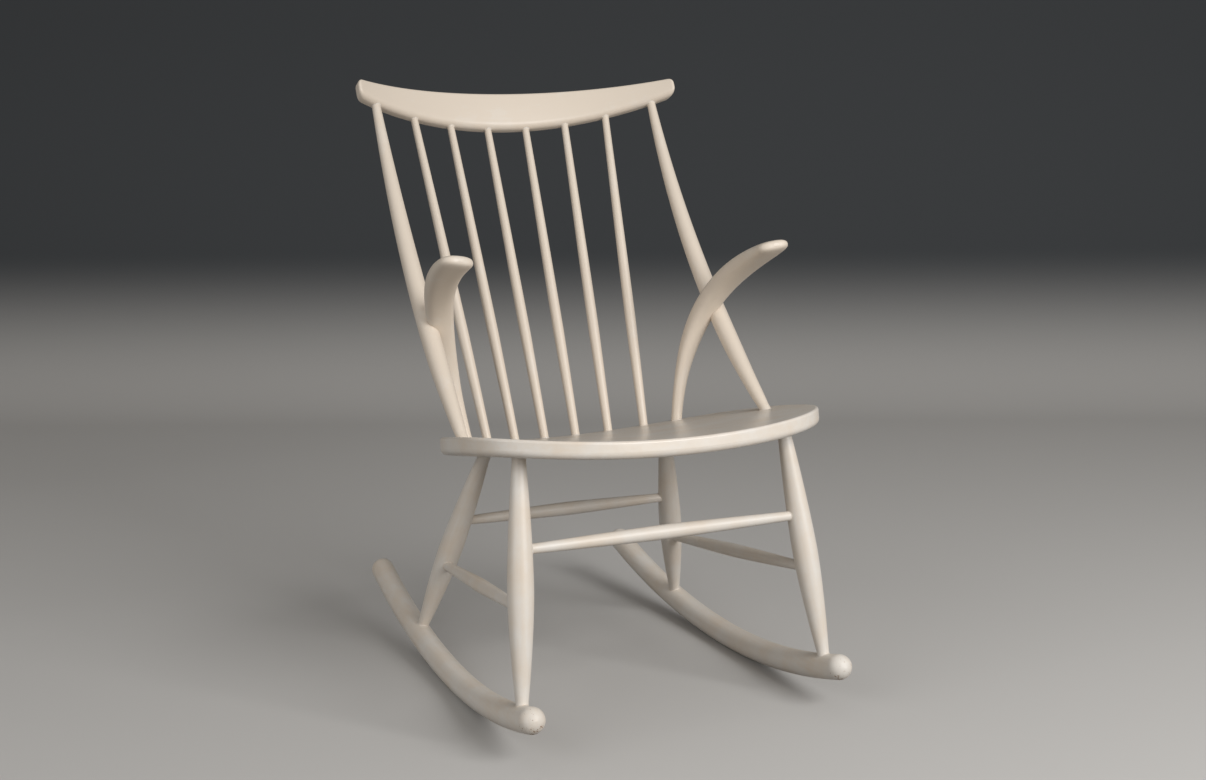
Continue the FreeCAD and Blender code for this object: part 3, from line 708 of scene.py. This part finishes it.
# Turns that bring a piece's length to z
ALONG_X = (0, math.radians(-90), 0)
ALONG_Y = (math.radians(90), 0, 0)
ALONG_Z = (0, 0, 0)
BRUSH_RIDGE = 0.012 * MM
RIDGE_LIMITS = (0.2, 0.8)
GLOSSIER = 0.05
DULLER = 0.06
RUBBED_TINT_SHARE = 0.25
CHIP_DEPTH = 0.1 * MM
CHIP_ROUGHNESS = 0.75
WAVES_PER_METRE = 55.0
# How far the spindles, crest rail, posts and arms go towards the aged colour: yellowing, and painted shade
# that darkens these upper pieces
AGE_AND_SHADE = 0.75
PLAIN_CHIPS = 0.3
ROCKER_CHIPS = 0.42
PLAIN_LUMPS = 0.1 * MM
SEAT_LUMPS = 0.25 * MM
BEECH_PALE = (0.5, 0.33, 0.19)
BEECH_DARK = (0.36, 0.22, 0.11)
BEECH_GRAIN = 0.03 * MM
BEECH_ROUGHNESS = (0.55, 0.75)


def paint_material(name, roughness, grain=None, lumps=PLAIN_LUMPS, chips=PLAIN_CHIPS, age_and_shade=0.0, reach=None):
    """Brushed satin paint. Grain turns the brush's way to z, and reach is where scuffed ends lie on y. Age
    pushes the film towards the aged colour, as yellowing and as painted shade.
    """
    if name in bpy.data.materials:
        return bpy.data.materials[name]
    look = bpy.context.scene.chair_paint
    material, wire = empty_material(name)
    own = wire.node("ShaderNodeTexCoord").outputs["Object"]
    if grain is None:
        place = wire.node("ShaderNodeAttribute", attribute_name=PLACE).outputs["Vector"]
    else:
        place = wire.node("ShaderNodeMapping", {"Vector": own, "Rotation": grain}).outputs["Vector"]
    brush = placed_group(wire, "brush", {"Place": place, "Width": 0.9 * MM, "Length": 45 * MM})
    film = placed_group(wire, "film", {
        "Place": place,
        "Clean": rgba(look.clean),
        "Aged": rgba(look.warm),
        "Size": 60 * MM,
        "Streaks": brush["Tone"],
        "Age": age_and_shade,
    })
    wear = placed_group(wire, "wear", {
        "Place": place,
        "Radius": 2.5 * MM,
        "Chip Size": 5 * MM,
        "Chips": chips,
    })
    # Dirt and painted shade in corners, found by ambient occlusion
    dirt_and_shade = placed_group(wire, "dirt_and_shade", {"Place": place, "Reach": 7 * MM, "Amount": 0.35})
    rubbed = wire.math("MULTIPLY", wear["Rubbed"], RUBBED_TINT_SHARE)
    tint = wire.mixed(rubbed, film["Color"], rgba(look.warm))
    tint = wire.mixed(dirt_and_shade["Dirt"], tint, rgba(look.dirt_and_shade))
    gone = wear["Chipped"]
    pitted = gone
    if reach is not None:
        scuffs = placed_group(wire, "scuffs", {
            "Place": own,
            "Reach": reach,
            "Band": 34 * MM,
            "Low": 54 * MM,
            "High": 72 * MM,
            "Size": 1.8 * MM,
            "Bare": 0.44,
        })
        gone = wire.math("MAXIMUM", gone, scuffs["Chips"])
        pitted = wire.math("MAXIMUM", gone, scuffs["Pits"])
    tint = wire.mixed(gone, tint, rgba(look.wood))
    wave = wire.noise(place, WAVES_PER_METRE, detail=1.0)
    fine = wire.ranged(brush["Height"], *RIDGE_LIMITS, roughness - GLOSSIER, roughness + DULLER)
    rough = wire.math("MAXIMUM", fine, wire.math("MULTIPLY", pitted, CHIP_ROUGHNESS))
    swell = wire.bump(lumps, wave)
    strokes = wire.bump(BRUSH_RIDGE, brush["Height"])
    wire.feed(strokes.inputs["Normal"], swell.outputs["Normal"])
    chipped = wire.bump(CHIP_DEPTH, pitted)
    chipped.invert = True
    wire.feed(chipped.inputs["Normal"], strokes.outputs["Normal"])
    shader = wire.node("ShaderNodeBsdfPrincipled", {"Base Color": tint, "Roughness": rough})
    wire.feed(shader.inputs["Normal"], chipped.outputs["Normal"])
    wire.node("ShaderNodeOutputMaterial", {"Surface": shader.outputs["BSDF"]})
    return material


def wood_material():
    """Bare beech, for the hidden dowels."""
    name = "bare beech"
    if name in bpy.data.materials:
        return bpy.data.materials[name]
    material, wire = empty_material(name)
    own = wire.node("ShaderNodeTexCoord").outputs["Object"]
    place = wire.node("ShaderNodeMapping", {"Vector": own, "Rotation": ALONG_X}).outputs["Vector"]
    brush = placed_group(wire, "brush", {"Place": place, "Width": 0.5 * MM, "Length": 12 * MM})
    tint = wire.mixed(brush["Tone"], rgba(BEECH_PALE), rgba(BEECH_DARK))
    bump = wire.bump(BEECH_GRAIN, brush["Height"])
    rough = wire.ranged(brush["Height"], *RIDGE_LIMITS, *BEECH_ROUGHNESS)
    shader = wire.node("ShaderNodeBsdfPrincipled", {"Base Color": tint, "Roughness": rough})
    wire.feed(shader.inputs["Normal"], bump.outputs["Normal"])
    wire.node("ShaderNodeOutputMaterial", {"Surface": shader.outputs["BSDF"]})
    return material


def finish_nodes(names, material):
    """Gives CAD nodes a material."""
    for name in names:
        slots = NODES[name].data.materials
        slots.clear()
        slots.append(material)


def named(start):
    return sorted(name for name in NODES if name.startswith(start))


# Pieces

TREES = {}

# Pieces made here that carry joint paint in place of their nodes
DRESSED = {}

TURNING_RINGS = 150
TURNING_SIDES = 56
SEED_STEP = 3.7
LEG_SEEDS = 10
STRETCHER_SEEDS = 20


def make_turning(name, way, sizes, number, material):
    """Replaces a turned CAD node with the same turning, made finer and slightly uneven by hand."""
    start = flat_tip(name, -way)[0]
    end = flat_tip(name, way)[0]
    inputs = {
        "Start": start,
        "End": end,
        "Foot": sizes.foot,
        "Belly": sizes.belly,
        "Head": sizes.head,
        "Foot Tenon": sizes.foot_tenon,
        "Head Tenon": sizes.head_tenon,
        "Belly Share": sizes.belly_share,
        "Curve": sizes.curve,
        "Chamfer": TENON_CHAMFER,
        "Unevenness": bpy.context.scene.chair_paint.uneven,
        "Seed": number * SEED_STEP,
        "Rings": TURNING_RINGS,
        "Sides": TURNING_SIDES,
        "Material": material,
    }
    piece = new_piece("painted_" + name, grown(TREES["turning"], inputs))
    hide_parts(name)


class CHAIR_OT_joint_paint(bpy.types.Operator):
    """Lays a fillet of paint round every tenon"""
    bl_idname = "chair.joint_paint"
    bl_label = "Joint paint"

    def execute(self, context):
        look = context.scene.chair_paint
        material = paint_material("paint in joints", look.gloss, chips=0.0)
        meshes = {}
        for number, (name, carrier, way) in enumerate(tenons()):
            tip, into, radius = flat_tip(name, way)
            inputs = {
                "Carrier": DRESSED.get(carrier, NODES[carrier]),
                "Tip": tip,
                "Outward": -into,
                "Radius": radius + TENON_CHAMFER,
                "Width": look.bead,
                "Seed": number * SEED_STEP,
                "Material": material,
            }
            meshes.setdefault(carrier, []).append(grown(TREES["joint paint"], inputs))
        for carrier, rings in meshes.items():
            name = "joint_paint_" + carrier
            new_piece(name, joined(rings, name))
        return {"FINISHED"}


def tenons():
    """Each tenon: its piece, the piece that carries it, and the way from the piece's middle to its tip."""
    found = []
    for name in named("spindle_") + named("back_post_"):
        found.append((name, "seat", DOWN))
        found.append((name, "crest_rail", UP))
    for side, way in (("left", LEFT), ("right", RIGHT)):
        found.append(("arm_" + side, "seat", DOWN))
        for end in ("front", "rear"):
            leg = end + "_leg_" + side
            found.append((leg, "seat", UP))
            found.append((leg, "rocker_" + side, DOWN))
            found.append((end + "_stretcher", leg, way))
        found.append(("side_stretcher_" + side, "front_leg_" + side, FRONT))
        found.append(("side_stretcher_" + side, "rear_leg_" + side, REAR))
    return found


class CHAIR_OT_spindles(bpy.types.Operator):
    """Turns the spindles of the back"""
    bl_idname = "chair.spindles"
    bl_label = "Spindles"

    def execute(self, context):
        gloss = context.scene.chair_paint.gloss
        # The aged film here is yellowing and painted shade
        material = paint_material("painted spindle", gloss, age_and_shade=AGE_AND_SHADE)
        for number, name in enumerate(named("spindle_")):
            make_turning(name, UP, context.scene.chair_spindles, number, material)
        return {"FINISHED"}


class CHAIR_OT_legs(bpy.types.Operator):
    """Turns the four legs"""
    bl_idname = "chair.legs"
    bl_label = "Legs"

    def execute(self, context):
        material = paint_material("painted turning", context.scene.chair_paint.gloss)
        for number, name in enumerate(named("front_leg_") + named("rear_leg_")):
            make_turning(name, UP, context.scene.chair_legs, LEG_SEEDS + number, material)
        return {"FINISHED"}


class CHAIR_OT_stretchers(bpy.types.Operator):
    """Turns the four stretchers"""
    bl_idname = "chair.stretchers"
    bl_label = "Stretchers"

    def execute(self, context):
        sizes = context.scene.chair_stretchers
        material = paint_material("painted turning", context.scene.chair_paint.gloss)
        ways = {
            "front_stretcher": LEFT,
            "rear_stretcher": LEFT,
            "side_stretcher_left": FRONT,
            "side_stretcher_right": FRONT,
        }
        for number, (name, way) in enumerate(ways.items()):
            make_turning(name, way, sizes, STRETCHER_SEEDS + number, material)
        return {"FINISHED"}


class CHAIR_OT_seat(bpy.types.Operator):
    """Paints the hollowed seat"""
    bl_idname = "chair.seat"
    bl_label = "Seat"

    def execute(self, context):
        gloss = context.scene.chair_paint.seat_gloss
        finish_nodes(["seat"], paint_material("painted seat", gloss, ALONG_X, lumps=SEAT_LUMPS))
        return {"FINISHED"}


CREST_SECTIONS = 161
CREST_CORNER_STEPS = 9
CREST_MERGE = 0.001 * MM


def arc_height(x, half, rise):
    """Height at x of an arc that climbs by the given rise from the middle to the end."""
    radius = (half ** 2 + rise ** 2) / (2 * rise)
    return radius - math.sqrt(radius ** 2 - x ** 2)


def end_inset(x, half, radius):
    """How far a round at the end has drawn an edge in at x."""
    past = max(abs(x) - (half - radius), 0)
    return radius - math.sqrt(max(radius ** 2 - past ** 2, 0))


def crest_section(x, half, sizes):
    """The rail's section at x, as distances behind the bend's middle line and heights on the board."""
    corner_inset = end_inset(x, half, sizes.end_round)
    low = arc_height(x, half, sizes.under_rise) + corner_inset
    high = sizes.height - arc_height(x, half, sizes.top_drop) - corner_inset
    deep = sizes.thickness / 2 - end_inset(x, half, sizes.end_edge_round)
    corners = (
        (-1, low, 1, sizes.soft_round),
        (-1, high, -1, sizes.edge_round),
        (1, high, -1, sizes.edge_round),
        (1, low, 1, sizes.edge_round),
    )
    points = []
    for number, (side, edge, inward, radius) in enumerate(corners):
        radius = min(radius, deep, (high - low) / 2)
        turns = [math.pi / 2 * step / (CREST_CORNER_STEPS - 1) for step in range(CREST_CORNER_STEPS)]
        if number % 2:
            turns.reverse()
        for turn in turns:
            points.append((
                side * (deep - radius + radius * math.sin(turn)),
                edge + inward * (radius - radius * math.cos(turn)),
            ))
    return points


def crest_mesh(box, sizes):
    """The bent rail, leaning back, with its top and rear where the frame has them."""
    half = box[1].x
    points = []
    for index in range(CREST_SECTIONS):
        x = half * math.sin(math.pi * (index / (CREST_SECTIONS - 1) - 0.5))
        for behind, height in crest_section(x, half, sizes):
            along = math.sqrt((sizes.bend + behind) ** 2 - x ** 2) - sizes.bend
            y = along * math.cos(sizes.lean) + height * math.sin(sizes.lean)
            z = height * math.cos(sizes.lean) - along * math.sin(sizes.lean)
            points.append((x, y, z))
    points = np.array(points)
    points[:, 1:] += np.array(box[1])[1:] - points[:, 1:].max(axis=0)
    ring = 4 * CREST_CORNER_STEPS
    faces = [range(ring), range(len(points) - ring, len(points))]
    for first in range(0, len(points) - ring, ring):
        for step in range(ring):
            after = (step + 1) % ring
            faces.append((first + step, first + after, first + ring + after, first + ring + step))
    mesh = bpy.data.meshes.new("crest rail")
    mesh.from_pydata(points, [], faces)
    closed = bmesh.new()
    closed.from_mesh(mesh)
    bmesh.ops.remove_doubles(closed, verts=closed.verts, dist=CREST_MERGE)
    bmesh.ops.recalc_face_normals(closed, faces=closed.faces)
    closed.to_mesh(mesh)
    closed.free()
    mesh.shade_smooth()
    return mesh


class CHAIR_OT_crest_rail(bpy.types.Operator):
    """Shapes the bent crest rail, with the soft lower edge that the CAD rail lacks, and paints it"""
    bl_idname = "chair.crest_rail"
    bl_label = "Crest rail"

    def execute(self, context):
        mesh = crest_mesh(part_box("crest_rail"), context.scene.chair_crest)
        gloss = context.scene.chair_paint.gloss
        # The aged film here is yellowing and painted shade
        mesh.materials.append(paint_material("painted crest rail", gloss, ALONG_X, age_and_shade=AGE_AND_SHADE))
        rail = new_piece("painted_crest_rail", mesh)
        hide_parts("crest_rail")
        DRESSED["crest_rail"] = rail
        return {"FINISHED"}


class CHAIR_OT_posts_and_arms(bpy.types.Operator):
    """Paints the back posts and the arms, and leaves their hidden dowels bare"""
    bl_idname = "chair.posts_and_arms"
    bl_label = "Posts and arms"

    def execute(self, context):
        gloss = context.scene.chair_paint.gloss
        uprights = named("back_post_") + ["arm_left", "arm_right"]
        # The aged film here is yellowing and painted shade
        finish_nodes(uprights, paint_material("painted upright", gloss, ALONG_Z, age_and_shade=AGE_AND_SHADE))
        finish_nodes(named("arm_dowel_"), wood_material())
        return {"FINISHED"}


class CHAIR_OT_rockers(bpy.types.Operator):
    """Paints the rockers, which have worn at their ends"""
    bl_idname = "chair.rockers"
    bl_label = "Rockers"

    def execute(self, context):
        gloss = context.scene.chair_paint.gloss
        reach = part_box("rocker_left")[1][1]
        material = paint_material("painted rocker", gloss, ALONG_Y, chips=ROCKER_CHIPS, reach=reach)
        finish_nodes(named("rocker_"), material)
        return {"FINISHED"}


# Stage

CAMERA_PLACE = Vector((-1.065, -2.399, 0.931))
CAMERA_YAW = math.radians(24.56)
CAMERA_PITCH = math.radians(10.217)
CAMERA_ROLL = math.radians(0.359)
CAMERA_LENS = 48.99
SENSOR_WIDTH = 36.0

KEY_PLACE = Vector((1.1, -3.1, 2.0))
KEY_SIZE = 1.9
FILL_PLACE = Vector((-2.8, -1.2, 1.5))
FILL_SIZE = 2.4
LIGHT_TARGET = Vector((0, -0.05, 0.45))

FLOOR_HALF = 9.0
SWEEP_RADIUS = 1.2
BACKDROP_DISTANCE = 3.2
BACKDROP_HEIGHT = 4.5
SWEEP_STEPS = 24
FADE_HEIGHT = 0.42
BOUNCE = (0.18, 0.17, 0.16)
SKY = (1.0, 0.985, 0.96)
STAGE_ROUGHNESS = 0.95
STAGE_SPECULAR = 0.1


def make_camera():
    level = math.cos(CAMERA_PITCH)
    ahead = Vector((math.sin(CAMERA_YAW) * level, math.cos(CAMERA_YAW) * level, -math.sin(CAMERA_PITCH)))
    right = Vector((math.cos(CAMERA_YAW), -math.sin(CAMERA_YAW), 0))
    above = right.cross(ahead)
    level_x = right * math.cos(CAMERA_ROLL) - above * math.sin(CAMERA_ROLL)
    level_y = right * math.sin(CAMERA_ROLL) + above * math.cos(CAMERA_ROLL)
    turn = Matrix((level_x, level_y, -ahead)).transposed()
    data = bpy.data.cameras.new("camera")
    data.lens = CAMERA_LENS
    data.sensor_width = SENSOR_WIDTH
    data.sensor_fit = "HORIZONTAL"
    camera = bpy.data.objects.new("camera", data)
    camera.matrix_world = Matrix.Translation(CAMERA_PLACE) @ turn.to_4x4()
    bpy.context.scene.collection.objects.link(camera)
    bpy.context.scene.camera = camera


def make_light(name, place, size, power):
    data = bpy.data.lights.new(name, "AREA")
    data.shape = "SQUARE"
    data.size = size
    data.energy = power
    lamp = bpy.data.objects.new(name, data)
    turn = (LIGHT_TARGET - place).to_track_quat("-Z", "Y").to_matrix().to_4x4()
    lamp.matrix_world = Matrix.Translation(place) @ turn
    bpy.context.scene.collection.objects.link(lamp)


def stage_material(look):
    """Pale where the floor is and darker up the backdrop, and dim to the light that bounces off it."""
    material, wire = empty_material("stage")
    height = wire.separated(wire.node("ShaderNodeTexCoord").outputs["Object"])["Z"]
    fade = wire.ranged(height, 0.0, FADE_HEIGHT, smooth=True)
    seen = wire.mixed(fade, rgba(look.floor), rgba(look.backdrop))
    path = wire.node("ShaderNodeLightPath").outputs
    shown = wire.math("MAXIMUM", path["Is Camera Ray"], path["Is Glossy Ray"])
    shown = wire.math("MAXIMUM", shown, path["Is Transmission Ray"])
    tint = wire.mixed(shown, rgba(BOUNCE), seen)
    shader = wire.node("ShaderNodeBsdfPrincipled", {"Base Color": tint, "Roughness": STAGE_ROUGHNESS})
    wire.feed(shader.inputs["Specular IOR Level"], STAGE_SPECULAR)
    wire.node("ShaderNodeOutputMaterial", {"Surface": shader.outputs["BSDF"]})
    return material


def make_backdrop(look):
    """A floor that sweeps up into a backdrop, square to the camera."""
    profile = [(-FLOOR_HALF, 0.0), (BACKDROP_DISTANCE - SWEEP_RADIUS, 0.0)]
    for index in range(1, SWEEP_STEPS + 1):
        angle = math.pi / 2 * index / SWEEP_STEPS
        reach = BACKDROP_DISTANCE - SWEEP_RADIUS + SWEEP_RADIUS * math.sin(angle)
        profile.append((reach, SWEEP_RADIUS - SWEEP_RADIUS * math.cos(angle)))
    profile.append((BACKDROP_DISTANCE, BACKDROP_HEIGHT))
    turn = Matrix.Rotation(-CAMERA_YAW, 3, "Z")
    points = []
    for reach, height in profile:
        points.append(turn @ Vector((-FLOOR_HALF, reach, height)))
        points.append(turn @ Vector((FLOOR_HALF, reach, height)))
    faces = [(2 * i, 2 * i + 1, 2 * i + 3, 2 * i + 2) for i in range(len(profile) - 1)]
    mesh = bpy.data.meshes.new("backdrop")
    mesh.from_pydata(points, [], faces)
    mesh.shade_smooth()
    mesh.materials.append(stage_material(look))
    backdrop = bpy.data.objects.new("backdrop", mesh)
    bpy.context.scene.collection.objects.link(backdrop)


def make_world(strength):
    world = bpy.data.worlds.new("soft light")
    world.use_nodes = True
    background = world.node_tree.nodes["Background"]
    background.inputs["Color"].default_value = rgba(SKY)
    background.inputs["Strength"].default_value = strength
    bpy.context.scene.world = world


class CHAIR_OT_stage(bpy.types.Operator):
    """Sets the floor, the backdrop, the lights and the camera"""
    bl_idname = "chair.stage"
    bl_label = "Stage"

    def execute(self, context):
        look = context.scene.chair_stage
        make_backdrop(look)
        make_light("key light", KEY_PLACE, KEY_SIZE, look.key)
        make_light("fill light", FILL_PLACE, FILL_SIZE, look.fill)
        make_world(look.ambient)
        make_camera()
        context.scene.view_settings.view_transform = "Standard"
        return {"FINISHED"}


class CHAIR_PT_panel(bpy.types.Panel):
    """Lists the chair's pieces and sizes in the sidebar"""
    bl_idname = "CHAIR_PT_panel"
    bl_label = "Rocking chair"
    bl_space_type = "VIEW_3D"
    bl_region_type = "UI"
    bl_category = "Chair"

    def draw(self, context):
        layout = self.layout
        for operator in OPERATORS:
            layout.operator(operator.bl_idname)
        for settings in SETTINGS:
            group = getattr(context.scene, settings)
            layout.label(text=settings)
            for prop in group.__annotations__:
                layout.prop(group, prop)


SETTINGS = {
    "chair_legs": LegSizes,
    "chair_stretchers": StretcherSizes,
    "chair_spindles": SpindleSizes,
    "chair_crest": CrestSizes,
    "chair_paint": PaintLook,
    "chair_stage": StageLook,
}

OPERATORS = (
    CHAIR_OT_crest_rail,
    CHAIR_OT_joint_paint,
    CHAIR_OT_spindles,
    CHAIR_OT_legs,
    CHAIR_OT_stretchers,
    CHAIR_OT_seat,
    CHAIR_OT_posts_and_arms,
    CHAIR_OT_rockers,
    CHAIR_OT_stage,
)


def register():
    for group in SETTINGS.values():
        bpy.utils.register_class(group)
    for operator in OPERATORS:
        bpy.utils.register_class(operator)
    bpy.utils.register_class(CHAIR_PT_panel)
    for settings, group in SETTINGS.items():
        setattr(bpy.types.Scene, settings, bpy.props.PointerProperty(type=group))


def unregister():
    for settings in SETTINGS:
        delattr(bpy.types.Scene, settings)
    bpy.utils.unregister_class(CHAIR_PT_panel)
    for operator in reversed(OPERATORS):
        bpy.utils.unregister_class(operator)
    for group in reversed(SETTINGS.values()):
        bpy.utils.unregister_class(group)


def main():
    register()
    TREES["turning"] = build_turning_tree()
    TREES["joint paint"] = build_joint_paint_tree()
    bpy.ops.chair.crest_rail()
    bpy.ops.chair.joint_paint()
    bpy.ops.chair.spindles()
    bpy.ops.chair.legs()
    bpy.ops.chair.stretchers()
    bpy.ops.chair.seat()
    bpy.ops.chair.posts_and_arms()
    bpy.ops.chair.rockers()
    bpy.ops.chair.stage()


if __name__ == "__main__":
    main()
